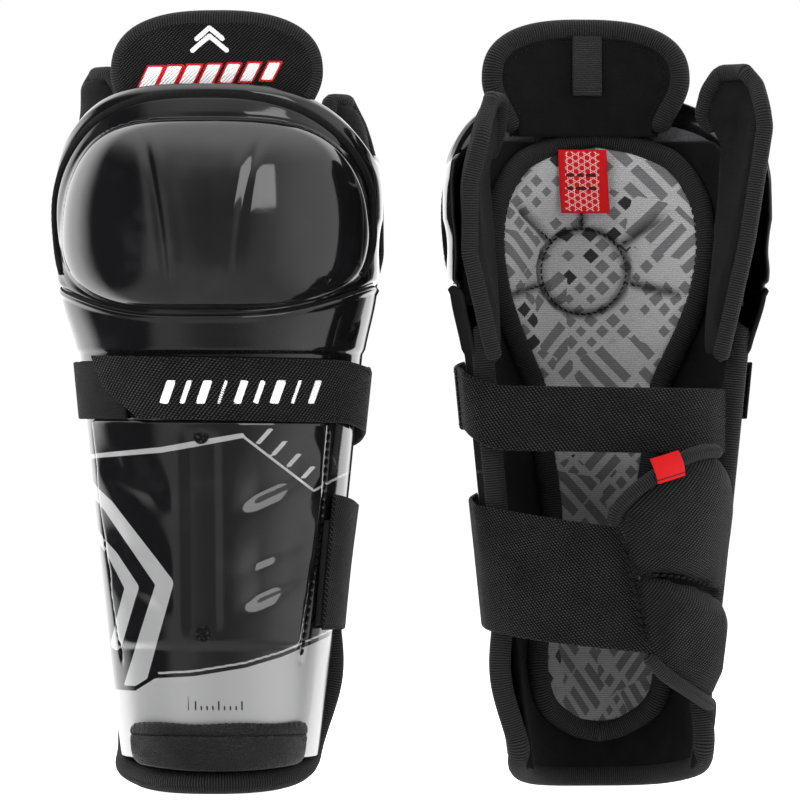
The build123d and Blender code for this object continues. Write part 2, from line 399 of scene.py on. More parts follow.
# --- Flat graphics: signed distances in mm, negative inside the print ---
def line_distance(x, z, line):
    best = np.full(x.shape, 1e9)
    for (x0, z0), (x1, z1) in zip(line[:-1], line[1:]):
        dx, dz = x1 - x0, z1 - z0
        share = np.clip(((x - x0) * dx + (z - z0) * dz) / (dx * dx + dz * dz), 0, 1)
        best = np.minimum(best, np.hypot(x - x0 - share * dx, z - z0 - share * dz))
    return best


def bar_distance(x, z, centre, width, height, lean):
    """A bar that leans to the right as it rises."""
    dz = z - centre[1]
    dx = x - centre[0] - dz * lean
    return np.maximum(np.abs(dx) - width / 2, np.abs(dz) - height / 2)


# --- Materials ---
class Paint:
    """The node tree of a new material, or of the world, with short names for the nodes needed here."""

    def __init__(self, name, owner=None):
        self.material = owner or bpy.data.materials.new(name)
        self.material.use_nodes = True
        self.tree = self.material.node_tree
        self.tree.nodes.clear()

    def put(self, socket, value):
        if isinstance(value, bpy.types.NodeSocket):
            self.tree.links.new(value, socket)
        elif value is not None:
            if socket.type == "RGBA" and len(value) == 3:
                value = (*value, 1.0)
            socket.default_value = value

    def add(self, kind, inputs=(), output=0, **settings):
        node = self.tree.nodes.new(kind)
        for key, value in settings.items():
            setattr(node, key, value)
        pairs = inputs.items() if isinstance(inputs, dict) else enumerate(inputs)
        for key, value in pairs:
            self.put(node.inputs[key], value)
        return node.outputs[output] if len(node.outputs) else None

    def math(self, operation, *values, clamp=False):
        return self.add("ShaderNodeMath", values, operation=operation, use_clamp=clamp)

    def times(self, first, second, clamp=False):
        return self.math("MULTIPLY", first, second, clamp=clamp)

    def plus(self, first, second):
        return self.math("ADD", first, second)

    def value(self, name):
        return self.add("ShaderNodeAttribute", output="Fac", attribute_name=name)

    def sheet(self, scale=(1.0, 1.0, 1.0), turn=0.0):
        spot = self.add("ShaderNodeAttribute", output="Vector", attribute_name="sheet")
        turned = self.add("ShaderNodeVectorRotate", {"Vector": spot, "Angle": turn})
        return self.add("ShaderNodeVectorMath", (turned, scale), operation="MULTIPLY")

    def axis(self, vector, which):
        return self.add("ShaderNodeSeparateXYZ", (vector,), output=which)

    def noise(self, vector, scale, detail=3.0, roughness=0.6):
        return self.add("ShaderNodeTexNoise",
                        {"Vector": vector, "Scale": scale, "Detail": detail, "Roughness": roughness})

    def ramp(self, value, low, high, bottom=0.0, top=1.0):
        limits = (value, low, high, bottom, top)
        return self.add("ShaderNodeMapRange", limits, interpolation_type="SMOOTHSTEP")

    def mix(self, share, first, second):
        return self.add("ShaderNodeMix", {0: share, 6: first, 7: second}, output=2, data_type="RGBA")

    def inside(self, name, soft=0.12):
        """1 inside a print, 0 outside it."""
        return self.ramp(self.value(name), soft, -soft)

    def wave(self, position, period):
        """A smooth 0 to 1 wave of this period along a position in mm."""
        turned = self.math("MULTIPLY", position, 2 * pi / period)
        return self.math("MULTIPLY_ADD", self.math("SINE", turned), 0.5, 0.5)

    def bump(self, height, distance, strength=1.0):
        settings = {"Height": height, "Strength": strength, "Distance": distance * MM}
        return self.add("ShaderNodeBump", settings)

    def done(self, colour, roughness, normal=None, **extra):
        surface = self.add("ShaderNodeBsdfPrincipled",
                           {"Base Color": colour, "Roughness": roughness, "Normal": normal, **extra})
        self.add("ShaderNodeOutputMaterial", {"Surface": surface})
        return self.material


def grey(level):
    return (level, level, level)


def gloss_black(name, prints=False):
    """Moulded glossy plastic with fine ripples and scuffs; prints adds silver with dark ink on it."""
    p = Paint(name)
    spot = p.sheet()
    ripple = p.noise(spot, 0.045, 2.0)
    scuff = p.noise(p.sheet((0.35, 1.6, 1)), 0.9, 6.0, 0.7)
    haze = p.ramp(p.noise(spot, 0.03, 5.0, 0.65), 0.48, 0.72)
    colour = p.mix(haze, (0.0045, 0.0045, 0.005), (0.011, 0.011, 0.012))
    roughness = p.ramp(scuff, 0.3, 0.8, 0.055, 0.15)
    extra = {"Specular IOR Level": 0.62, "Coat Weight": 0.35, "Coat Roughness": 0.04}
    if prints:
        silver, ink = p.inside("silver"), p.inside("ink")
        flakes = p.noise(spot, 5.5, 2.0)
        metal = p.mix(p.ramp(flakes, 0.35, 0.65), (0.34, 0.34, 0.345), (0.50, 0.50, 0.505))
        colour = p.mix(silver, colour, metal)
        colour = p.mix(p.times(silver, ink), colour, (0.012, 0.012, 0.013))
        roughness = p.plus(roughness, p.times(silver, 0.28))
        painted_edge_shade = p.ramp(p.math("ABSOLUTE", p.axis(spot, 0)), 74.0, 79.0)     # painted shade: the rear edges are painted near-black and dulled, so they look dark instead of mirroring the bright room behind
        colour = p.mix(painted_edge_shade, colour, grey(0.012))
        roughness = p.math("MAXIMUM", roughness, p.times(painted_edge_shade, 0.75))
        for finish, plain in (("Specular IOR Level", 0.62), ("Coat Weight", 0.35)):
            extra[finish] = p.math("MULTIPLY_ADD", painted_edge_shade, -plain, plain)
        extra["Metallic"] = p.times(silver, 0.55)
    height = p.plus(p.times(ripple, 1.0), p.times(scuff, 0.02))
    return p.done(colour, roughness, p.bump(height, 0.5, 0.35), **extra)


CLOTH_SHEEN = {"Sheen Weight": 0.02, "Sheen Roughness": 0.5, "Specular IOR Level": 0.18}


def twill(name, light, dark, period=1.15, turn=0.62, prints=None):
    """Coarse cloth with diagonal ribs, broken into single threads."""
    p = Paint(name)
    rib = p.wave(p.axis(p.sheet(turn=turn), 0), period)
    thread = p.wave(p.axis(p.sheet(turn=turn + 1.1), 0), period * 0.8)
    weave = p.times(rib, p.math("MULTIPLY_ADD", thread, 0.6, 0.4))
    fuzz = p.noise(p.sheet(), 2.4, 4.0)
    worn = p.noise(p.sheet(), 0.06, 3.0)
    shade = p.times(p.ramp(weave, 0.30, 0.95), p.ramp(worn, 0.3, 0.7, 0.6, 1.1))
    shade = p.times(shade, p.ramp(fuzz, 0.25, 0.7, 0.55, 1.2), clamp=True)
    colour = p.mix(shade, dark, light)
    if prints:
        for attribute, paint in prints:
            cover = p.times(p.inside(attribute), p.ramp(fuzz, 0.2, 0.42, 0.82, 1.0))
            colour = p.mix(cover, colour, paint)
    height = p.plus(weave, p.times(fuzz, 0.4))
    return p.done(colour, 0.86, p.bump(height, 0.55), **CLOTH_SHEEN)


def ribbed(name, light, dark, period=1.05):
    """Knitted binding: ribs across the roll, each made of small loops."""
    p = Paint(name)
    sheet = p.sheet()
    rib = p.wave(p.axis(sheet, 0), period)
    loops = p.wave(p.axis(sheet, 1), 0.75)
    fuzz = p.noise(sheet, 3.2, 4.0)
    knit = p.times(rib, p.math("MULTIPLY_ADD", loops, 0.45, 0.55))
    shade = p.times(knit, p.ramp(fuzz, 0.25, 0.75, 0.5, 1.25), clamp=True)
    height = p.plus(knit, p.times(fuzz, 0.35))
    return p.done(p.mix(shade, dark, light), 0.82, p.bump(height, 0.34), **CLOTH_SHEEN)


def brushed(name, light, dark, nap=1.0):
    """Brushed knit: a short, uneven nap over fine rows."""
    p = Paint(name)
    fine = p.noise(p.sheet((1.0, 0.55, 1)), 2.8 / nap, 6.0, 0.75)
    cloud = p.noise(p.sheet(), 0.09, 4.0)
    rows = p.wave(p.axis(p.sheet(turn=0.08), 1), 0.95)
    shade = p.times(p.ramp(fine, 0.3, 0.75), p.ramp(cloud, 0.3, 0.7, 0.55, 1.15), clamp=True)
    height = p.plus(fine, p.times(rows, 0.25))
    return p.done(p.mix(shade, dark, light), 0.9, p.bump(height, 0.26 * nap), **CLOTH_SHEEN)


def leather(name):
    p = Paint(name)
    cells = p.add("ShaderNodeTexVoronoi", {"Vector": p.sheet(), "Scale": 1.1}, feature="DISTANCE_TO_EDGE")
    grain = p.ramp(cells, 0.0, 0.35)
    crease = p.noise(p.sheet((0.25, 1.0, 1)), 0.5, 5.0, 0.7)
    scratch = p.ramp(p.noise(p.sheet((2.2, 0.25, 1), turn=0.7), 0.8, 5.0, 0.8), 0.62, 0.74)
    colour = p.mix(p.times(scratch, 0.35), grey(0.0045), grey(0.10))
    colour = p.mix(p.times(crease, 0.3), colour, grey(0.018))
    height = p.plus(p.times(grain, 0.5), crease)
    roughness = p.ramp(crease, 0.3, 0.7, 0.34, 0.56)
    return p.done(colour, roughness, p.bump(height, 0.7), **{"Specular IOR Level": 0.4})


def printed_knit(name):
    """Light grey mesh knit, printed with turned squares and slanted bars in darker greys."""
    p = Paint(name)
    field = p.add("ShaderNodeTexVoronoi", {"Vector": p.sheet(), "Scale": 1 / 27.0}, output="Color")
    choice = p.axis(field, 0)
    diamond = p.sheet((1 / 6.5, 1 / 6.5, 1), turn=pi / 4)
    cell = p.add("ShaderNodeVectorMath", (diamond,), operation="FLOOR")
    inner = p.add("ShaderNodeVectorMath", (diamond,), operation="FRACTION")
    off_x = p.math("ABSOLUTE", p.math("SUBTRACT", p.axis(inner, 0), 0.5))
    off_y = p.math("ABSOLUTE", p.math("SUBTRACT", p.axis(inner, 1), 0.5))
    chance = p.add("ShaderNodeTexWhiteNoise", (cell,), noise_dimensions="3D")
    size = p.ramp(chance, 0.0, 1.0, 0.20, 0.36)
    square = p.ramp(p.math("SUBTRACT", size, p.math("MAXIMUM", off_x, off_y)), -0.03, 0.03)
    square = p.times(square, p.ramp(chance, 0.28, 0.30))

    def bars(turn):
        lane = p.sheet((1 / 7.2, 1 / 22.0, 1), turn=turn)
        lane_cell = p.add("ShaderNodeVectorMath", (lane,), operation="FLOOR")
        part = p.add("ShaderNodeVectorMath", (lane,), operation="FRACTION")
        side = p.math("ABSOLUTE", p.math("SUBTRACT", p.axis(part, 0), 0.5))
        reach = p.math("ABSOLUTE", p.math("SUBTRACT", p.axis(part, 1), 0.5))
        pick = p.add("ShaderNodeTexWhiteNoise", (lane_cell,), noise_dimensions="3D")
        long = p.ramp(pick, 0.0, 1.0, 0.25, 0.52)
        middle = p.ramp(side, 0.30, 0.27)
        end = p.ramp(p.math("SUBTRACT", long, reach), 0.0, 0.03)
        bar = p.times(middle, end)
        return p.times(bar, p.ramp(pick, 0.12, 0.14))

    left, right = bars(pi / 4), bars(-pi / 4)
    pattern = p.mix(p.math("GREATER_THAN", choice, 0.36), square, left)
    pattern = p.mix(p.math("GREATER_THAN", choice, 0.68), pattern, right)
    pattern = p.axis(pattern, 0)
    dark_square = p.times(square, p.math("GREATER_THAN", chance, 0.90))
    dark_square = p.times(dark_square, p.math("LESS_THAN", choice, 0.36))
    rows = p.wave(p.axis(p.sheet(), 1), 0.9)
    loops = p.wave(p.axis(p.sheet(turn=0.35), 0), 0.7)
    knit = p.times(rows, p.math("MULTIPLY_ADD", loops, 0.5, 0.5))
    fuzz = p.noise(p.sheet((1, 0.6, 1)), 1.7, 5.0, 0.7)
    shade = p.times(p.ramp(knit, 0, 1, 0.72, 1.06), p.ramp(fuzz, 0.25, 0.75, 0.72, 1.15))
    base = p.mix(p.noise(p.sheet(), 0.05, 3.0), (0.42, 0.42, 0.425), (0.55, 0.55, 0.555))
    colour = p.mix(p.times(pattern, 0.85), base, (0.125, 0.125, 0.13))
    colour = p.mix(p.times(dark_square, 0.95), colour, grey(0.012))
    # painted shade: the knit is darkened along the quilted seams, the more the deeper they press in
    seam = p.math("MULTIPLY_ADD", p.value("seam"), -0.80, 1.0)
    shade = p.times(shade, seam)
    # painted shadow: the liner grows darker below about 178 mm, standing in for the shade under the strap
    shade = p.times(shade, p.ramp(p.axis(p.sheet(), 1), 95.0, 178.0, 0.36, 1.0))
    colour = p.add("ShaderNodeVectorMath", {0: colour, 3: shade}, operation="SCALE")
    height = p.plus(knit, p.times(fuzz, 0.7))
    return p.done(colour, 0.9, p.bump(height, 0.22), **{"Sheen Weight": 0.15})


def red_tape(name):
    """Woven red ribbon with a fine white net of triangles inside plain borders."""
    p = Paint(name)
    lines = None
    for turn in (0.0, pi / 3, -pi / 3):
        across = p.axis(p.sheet(turn=turn), 0)
        offset = p.math("ABSOLUTE", p.math("SUBTRACT", p.math("FRACT", p.math("DIVIDE", across, 2.5)), 0.5))
        line = p.ramp(offset, 0.075, 0.03)
        lines = line if lines is None else p.math("MAXIMUM", lines, line)
    lines = p.times(lines, p.inside("net"))
    thread = p.wave(p.axis(p.sheet(), 1), 0.42)
    fuzz = p.noise(p.sheet(), 3.0, 3.0)
    red = p.mix(p.times(thread, fuzz), (0.40, 0.0010, 0.003), (0.80, 0.0025, 0.008))
    colour = p.mix(p.times(lines, p.ramp(fuzz, 0.3, 0.6, 0.45, 0.9)), red, (0.85, 0.62, 0.60))
    colour = p.mix(p.inside("ink"), colour, (0.05, 0.004, 0.006))
    return p.done(colour, 0.62, p.bump(p.plus(thread, fuzz), 0.10), **{"Specular IOR Level": 0.2})


def foam(name):
    p = Paint(name)
    spot = p.add("ShaderNodeTexCoord", output="Object")
    cells = p.add("ShaderNodeTexVoronoi", {"Vector": spot, "Scale": 900.0})
    cloud = p.noise(spot, 60.0, 3.0)
    colour = p.mix(p.times(cells, cloud), (0.05, 0.05, 0.053), (0.10, 0.10, 0.105))
    return p.done(colour, 0.92, p.bump(cells, 0.4))


def lacquered(name):
    p = Paint(name)
    spot = p.add("ShaderNodeTexCoord", output="Object")
    wear = p.ramp(p.noise(spot, 900.0, 4.0), 0.5, 0.7)
    colour = p.mix(wear, (0.008, 0.008, 0.009), (0.06, 0.06, 0.062))
    return p.done(colour, p.ramp(wear, 0, 1, 0.25, 0.45), None, **{"Metallic": 0.6})


SHELL = gloss_black("moulded_shell", prints=True)
CAP = gloss_black("moulded_cap")
WEBBING = twill("strap_webbing", (0.050, 0.050, 0.051), grey(0.0012), 1.3, 0.66,
                prints=[("white", grey(0.86))])
PANEL = twill("flap_panel_weave", (0.042, 0.042, 0.043), grey(0.0022), 1.05, 0.80,
              prints=[("red", (0.62, 0.012, 0.020)), ("white", grey(0.92))])
CALF = twill("calf_pad_weave", (0.044, 0.044, 0.045), grey(0.0022), 1.2, 0.75)
BINDING = ribbed("ribbed_binding", (0.036, 0.036, 0.037), grey(0.0022))
LINING = brushed("brushed_lining", (0.0075, 0.0075, 0.0078), grey(0.0012))
WING = brushed("wing_jersey", (0.0095, 0.0095, 0.0098), grey(0.0016))
NAP = brushed("hook_and_loop_nap", (0.014, 0.014, 0.0145), grey(0.0012), 1.6)
TAPE = twill("pull_tape", (0.075, 0.075, 0.077), grey(0.016), 0.8, 1.57)
LEATHER = leather("toe_leather")
LINER = printed_knit("printed_liner")
RED = red_tape("red_tape")
FOAM = foam("closed_cell_foam")
LACQUER = lacquered("black_lacquer")
THREAD = twill("black_thread", (0.055, 0.055, 0.057), grey(0.0015), 0.6, 0.9)


# --- Shin shell ---
PANEL_HEIGHTS = (52, 63, 108, 151)
PANEL_ANGLES = (50, 52, 58.5, 58.5)         # the raised panel's side edges at those heights
PANEL_BOTTOM, PANEL_TOP = 60.0, 157.0
# each scoop's ridge, as (x, z) at its inner and its outer end
RIB_LINES = (((17, 123), (46, 137)), ((17, 96), (46, 108)), ((17, 81.5), (44, 94)))
RIVETS = (67.0, 149.0)
SHELL_HALF, SHELL_BOTTOM = 105.0, 14.5      # how far round the leg the shell reaches, and its lower edge


def panel_edge(z):
    return np.interp(z, PANEL_HEIGHTS, PANEL_ANGLES)


def shell_relief(x, z, angle):
    """How far the shell's face stands out from the plain leg-shaped wall."""
    beyond = np.radians(np.abs(angle) - panel_edge(z)) * (half_width(z) + 2)
    panel = smooth(-beyond / 2.6) * smooth((z - PANEL_BOTTOM) / 4.5) * smooth((PANEL_TOP - z) / 3)
    out = -1.1 + 2.7 * panel
    out += 0.9 * smooth((z - 183) / 3)
    side = np.abs(x)
    for (x0, z0), (x1, z1) in RIB_LINES:
        above = z - (z0 + (z1 - z0) * (side - x0) / (x1 - x0))
        groove = np.where(above > 0, hump(above, 10.5), hump(above, 5.2))
        out -= 2.7 * groove * smooth((side - x0 + 6) / 13) * panel * smooth((x1 + 4 - side) / 14)
    spine = smooth((9.5 - side) / 4.5) * smooth((z - 64) / 8) * smooth((153 - z) / 8)
    out -= 1.3 * spine * panel
    for level in RIVETS:
        out -= 0.6 * hump(np.hypot(x, z - level), 2.2)
    out -= 0.9 * hump(beyond - 3.6, 1.5) * smooth((z - 52) / 6) * smooth((154 - z) / 4)
    out += 1.0 * smooth((z - rim_level(x) + 3.2) / 3)
    return out + side_flare(z, angle)


# the printed lines, as (x, z) points seen from straight in front
BAND_TOP = ((-60, 42.6), (-34.7, 42.8), (-26.1, 48.3), (-10, 49.4), (11.4, 52.9), (26.4, 57.2), (37.1, 61.5),
            (47.8, 65.8), (60, 70))
LONG_STRIPE = ((-60, 139.2), (-50.7, 140.8), (-22.9, 143.4), (10.3, 149.3))
THIN_STRIPE = ((10.3, 149.3), (39.8, 126.3), (47.8, 130.6), (60, 136.5))
SWEEP = ((-58, 131), (-46, 120), (-22, 88), (-36, 42))
INNER_SWEEP = ((-56, 113), (-44, 99), (-36, 86), (-43, 62))


def silver_print(x, z):
    """A band round the ankle with a pinstripe, a bent stripe below the strap, and an angular chevron."""
    band = z - np.interp(x, *zip(*BAND_TOP))
    pinstripe = np.maximum(np.abs(band - 2.1) - 0.45, -25 - x)
    silver = np.minimum(band, pinstripe)
    long_half = np.interp(x, (-60, -10, 10), (0.9, 1.2, 1.0))
    silver = np.minimum(silver, line_distance(x, z, LONG_STRIPE) - long_half)
    silver = np.minimum(silver, line_distance(x, z, THIN_STRIPE) - 0.5)
    sweep = line_distance(x, z, SWEEP) - np.interp(z, (45, 88, 130), (4.4, 3.6, 2.2))
    silver = np.minimum(silver, np.maximum(sweep, 2.0 - band))
    inner = line_distance(x, z, INNER_SWEEP) - np.interp(z, (62, 86, 113), (2.6, 2.9, 1.2))
    silver = np.minimum(silver, inner)
    for step in range(4):
        centre = (19.5 + 6.0 * step, 149.0 - 5.0 * step)
        silver = np.minimum(silver, bar_distance(x, z, centre, 2.3, 6.4 - 0.5 * step, 0.9))
    return silver


def dark_ink(x, z):
    """A small rule of plain ticks on the silver band."""
    ink = bar_distance(x, z, (-12.2, 38.2), 0.5, 6.4, 0)
    for step in range(9):
        height = 4.0 if step % 4 == 0 else 2.0
        ink = np.minimum(ink, bar_distance(x, z, (-9.2 + 2.4 * step, 35.2 + height / 2), 0.75, height, 0))
    return ink


def shin_shell():
    angle = np.linspace(-SHELL_HALF, SHELL_HALF, 264)[None, :]
    share = spaced(0, 1, 250, 0.25)[:, None]
    reach = half_width(205) * np.sin(np.radians(angle))
    top = rim_level(reach)
    z = SHELL_BOTTOM + share * (top - SHELL_BOTTOM)
    angle = np.broadcast_to(angle, z.shape)
    x = half_width(z) * np.sin(np.radians(angle))
    middle = wall(z, angle, shell_relief(x, z, angle) - 1.0)
    shape = pad(middle, 2.0, 1.0, unrolled(z, angle, 50))
    seen = seen_x(shape.points)
    height = shape.points[:, 2]
    inner = np.repeat([0.0, 99.0], z.size)
    shape.values["silver"] = silver_print(seen, height) + inner
    shape.values["ink"] = dark_ink(seen, height)
    return shape


def shell_stitch_path(side):
    z = np.linspace(59, 152, 80)
    angle = panel_edge(z) + np.degrees(3.6 / (half_width(z) + 2))
    return wall(z, side * angle, -1.3)


def shell_threads():
    return joined([stitches(shell_stitch_path(side), 3.4, 3.0, 0.55, -0.25 * side) for side in (-1, 1)])


def rim_binding():
    """The dark fabric edge that shows between the shell's rim and the cap."""
    angle = np.linspace(-97, 97, 150)
    z = rim_level(half_width(205) * np.sin(np.radians(angle))) - 0.4
    return tube(wall(z, angle, -1.7 + side_flare(z, angle)), 1.3, 10)


# --- Toe binding and base roll ---
TOE_OFF = 7.0                       # it sits a little towards the medial side
TOE_SEAM = 24.6
ROLL_ANGLE = 103.0                  # where the roll runs down the lining's rear edges


def toe_binding():
    """A strip of leather folded round the shell's bottom edge, slack at its upper edge."""
    angle = spaced(-55, 55, 120)[None, :]
    share = np.linspace(0, 1, 40)[:, None]
    corner = 3.6 * (1 - np.sqrt(1 - np.clip((np.abs(angle) - 48) / 7.2, 0, 1) ** 2))
    low = 10.0 + 3.6 * (np.abs(angle) / 58) ** 2 + corner
    high = 29.6 - corner + 0.35 * np.sin(angle / 7) + 0.2 * np.sin(angle * 1.7)
    z = low + share * (high - low)
    z, angle = np.broadcast_arrays(z, angle)
    seam = hump(z - TOE_SEAM, 0.9)
    out = 1.6 * np.sin(np.clip(share, 0, 1) * pi) ** 0.45 - 0.7 * seam + 0.15 * np.sin(angle / 5 + z / 3)
    return on_wall(z, angle + TOE_OFF, out - 0.6, 2.4, 1.2)


def toe_threads():
    angle = np.linspace(-52, 52, 100) + TOE_OFF
    return stitches(wall(TOE_SEAM, angle, 0.7), 5.6, 4.4, 0.55)


def lateral_flare(z, angle):
    """How far the lining's lateral edge stands out near the ankle."""
    return 3.8 * smooth((42 - z) / 24) * smooth((-angle - 60) / 30)


def edge_roll():
    """One roll down both rear edges of the lining and under the ankle, flat where the guard stands on it."""
    side_z = np.linspace(196, 22.5, 110)
    turn = np.linspace(0, pi, 200)
    foot_angle = ROLL_ANGLE * np.sign(np.cos(turn)) * np.abs(np.cos(turn)) ** 0.8
    foot_z = 22 - 17.4 * np.sin(turn) ** 0.8
    z = np.concatenate([side_z, foot_z, side_z[::-1]])
    angle = np.concatenate([np.full(110, ROLL_ANGLE), foot_angle, np.full(110, -ROLL_ANGLE)])
    medial = 6.0 * hump(z - 48, 24) * smooth((angle - 60) / 30)
    stand_off = medial + lateral_flare(z, angle) - 1.2 * smooth((14 - z) / 8)
    roll = tube(resample(wall(z, angle, -5.4 + stand_off), 1.5), 4.6, 18)
    roll.points[:, 2] = np.maximum(roll.points[:, 2], 0.0)
    return roll


# --- Lining and printed liner ---
def crown_level(x, inset, rise=55.0):
    """The height of the arched edge at x; inset draws its sides in, rise is its height above the knee."""
    half = 67.5 - inset
    return KNEE + rise * np.maximum(1 - (np.abs(x) / half) ** 3.2, 0) ** (1 / 3.2)


def lining():
    angle = spaced(-104.5, 104.5, 130)[None, :]
    share = spaced(0, 1, 150)[:, None]
    top = crown_level(KNEE_HALF * np.sin(np.radians(angle)) * 0.9, 6.0, 46.0)
    top = np.minimum(top, 274 - 34 * smooth((np.abs(angle) - 60) / 45))
    bottom = 4 + 5 * smooth((np.abs(angle) - 60) / 40)
    z = bottom + share * (top - bottom)
    z, angle = np.broadcast_arrays(z, angle)
    puff = 0.5 * np.sin(np.radians(angle) * 7) * smooth((z - 30) / 60)
    return on_wall(z, angle, -8.9 + puff * 0.5 + lateral_flare(z, angle), 1.9, 1.0)


# heights, and half the printed liner's width at each, in degrees round the leg
LINER_HALF = ((27.5, 0), (29, 24), (35, 40), (45, 47), (57, 46), (80, 34), (112, 24), (142, 27), (168, 30),
              (182, 37.4), (196, 46.4), (210, 53.5), (227, 56.5), (245, 51.4), (255, 44.5), (262, 37.6),
              (268, 27), (272, 0))
LINER_OFF = -3.0                # it lies a little towards the lateral side
LINER_OUT = -13.6               # its middle layer, inside the shell's face
LINER_BOTTOM, LINER_TOP = LINER_HALF[0][0], LINER_HALF[-1][0]
DISC = (3.0, 218.8, 18.2)       # the quilted disc's centre and radius
SEAM_TURNS = (43, 90, 145, 195, 342)


def liner_angle(z):
    """Half the printed liner's width at these heights, as a smooth line through LINER_HALF."""
    line = smooth_line(LINER_HALF, 0.25)
    return np.interp(z, line[:, 0], np.maximum(line[:, 1], 0))


def quilting(points):
    """How deep the seams press into the liner at these points, 0 to 1."""
    x, z = points[:, 0] - DISC[0], points[:, 2] - DISC[1]
    radius = np.hypot(x, z)
    depth = hump(radius - DISC[2], 1.9)
    for turn in SEAM_TURNS:
        way = radians(turn)
        along = x * cos(way) + z * sin(way)
        across = -x * sin(way) + z * cos(way)
        reach = smooth((along - DISC[2] + 1) / 3) * smooth((46 - along) / 12)
        depth = np.maximum(depth, hump(across, 2.0) * reach)
    return depth


def liner():
    z = spaced(LINER_BOTTOM, LINER_TOP, 300, 0.75)[:, None]
    share = spaced(-1, 1, 130, 0.3)[None, :]
    angle = liner_angle(z) * share + LINER_OFF
    z, angle = np.broadcast_arrays(z, angle)
    middle = wall(z, angle, LINER_OUT)
    shape = pad(middle, 5.6, 7.0, unrolled(z, angle, 44))
    centre = shape.points * [1, 1, 0]
    outward = centre / np.maximum(np.linalg.norm(centre, axis=1, keepdims=True), 1e-6)
    soft = np.sin(shape.points[:, 0] / 9) * np.sin(shape.points[:, 2] / 13) * 0.45
    radius = np.hypot(shape.points[:, 0] - DISC[0], shape.points[:, 2] - DISC[1])
    crown = 1.9 * smooth((DISC[2] - radius) / 12)
    crown = crown + 1.4 * smooth((radius - DISC[2]) / 10) * smooth((56 - radius) / 20)
    facing = np.where(outward_gap(shape.points) < LINER_OUT, 1.0, 0.0)
    move = facing * (4.0 * quilting(shape.points) - crown - soft)
    # how deep the seams press in, which the liner's material turns into painted shade
    shape.values["seam"] = quilting(shape.points) ** 1.5
    shape.points = shape.points + outward * move[:, None]
    return shape


def quilt_threads():
    """Thread round the quilted disc and out along its seams."""
    turn = np.linspace(0, 2 * pi, 80)
    lines = [(DISC[0] + DISC[2] * np.cos(turn), DISC[1] + DISC[2] * np.sin(turn))]
    for way in np.radians(SEAM_TURNS):
        reach = np.linspace(DISC[2] + 1, DISC[2] + 23, 24)
        lines.append((DISC[0] + reach * np.cos(way), DISC[1] + reach * np.sin(way)))
    threads = [stitches(wall(z, angle_at(x, z, LINER_OUT), LINER_OUT + 0.2), 2.6, 2.2, 0.34, 0.3)
               for x, z in lines]
    return joined(threads)


def outward_gap(points):
    """How far outside the shell's face each point is."""
    turn = np.arctan2(points[:, 0] / half_width(points[:, 2]), -points[:, 1] / front_depth(points[:, 2]))
    face = wall(points[:, 2], np.degrees(turn), 0)
    return np.linalg.norm(points[:, :2], axis=1) - np.linalg.norm(face[:, :2], axis=1)


def outline_path(widen, out):
    """The closed line round the liner, widen degrees outside it."""
    line = smooth_line(LINER_HALF, 0.5)
    z, half = line[:, 0], np.maximum(line[:, 1], 0)
    centre_z = 150.0
    z = z + np.sign(z - centre_z) * widen * 0.8 * (1 - smooth(half / 30))
    half = half + widen * smooth(half / 14)
    right, left = wall(z, half + LINER_OFF, out), wall(z, LINER_OFF - half, out)
    return resample(np.concatenate([right, left[::-1]]), 1.6)


def liner_piping():
    path = outline_path(5.2, -13.4)
    return tube(np.concatenate([path, path[:8]]), 4.4, 16)


def liner_threads():
    path = outline_path(0.8, -16.2)
    return stitches(path, 3.4, 2.3, 0.3)


# --- Knee cap ---
DOME = (62.3, 39.0, 241.0)          # half width, half height and centre height of the dome
DOME_OFF = 1.8
DOME_RISE = 14.0
CAP_SEAM = (64.5, 50.0, 240.5)      # the same for the sewn line outside it


def reach_from(x, z, oval, power):
    """0 in the middle of an oval, 1 on its outline."""
    return (np.abs(x / oval[0]) ** power + np.abs((z - oval[2]) / oval[1]) ** power) ** (1 / power)


def knee_cap():
    angle = np.linspace(-99, 99, 280)[None, :]
    share = spaced(0, 1, 180, 0.35)[:, None]
    reach = KNEE_HALF * np.sin(np.radians(angle))
    top = np.maximum(crown_level(reach, 0), rim_level(reach) + 8)
    bottom = rim_level(reach) - 3.5
    z = bottom + share * (top - bottom)
    angle = np.broadcast_to(angle, z.shape)
    x = half_width(z) * np.sin(np.radians(angle))
    drawn_in = 1 - 0.07 * smooth((z - 225) / 50)
    far = reach_from((x - DOME_OFF) / drawn_in, z, DOME, 3.3)
    sewn = reach_from(x, z, CAP_SEAM, 2.6)
    dome = (1 - np.minimum(far, 1) ** 3.2) ** 0.56
    out = -1.6 + side_flare(z, angle) - 0.5 * hump(far - 1.03, 0.02)
    out += 0.9 * smooth((sewn - 1.0) / 0.035) - 0.8 * hump(sewn - 1.0, 0.018) * smooth((z - 215) / 12)
    out -= 1.6 * smooth((z - top + 3.0) / 3.0) + 1.6 * smooth((rim_level(reach) + 1.5 - z) / 2)
    bend = np.abs(x - 1.5) - 14 - 10 * ((z - 204) / 70) ** 2
    fade = smooth((z - 204) / 10) * smooth((277 - z) / 16)
    crease = 0.85 * hump(bend, 2.2) * fade
    flat = 0.7 * smooth(-bend / 9) * fade
    middle = wall(z, angle, out)
    rise = DOME_RISE * dome - (crease + flat) * smooth((1 - far) / 0.1)
    middle[..., 1] -= rise * 0.86
    middle[..., 0] += np.sign(x) * rise * 0.18 * np.abs(np.sin(np.radians(angle)))
    return pad(middle, 2.1, 1.0, unrolled(z, angle, 60))


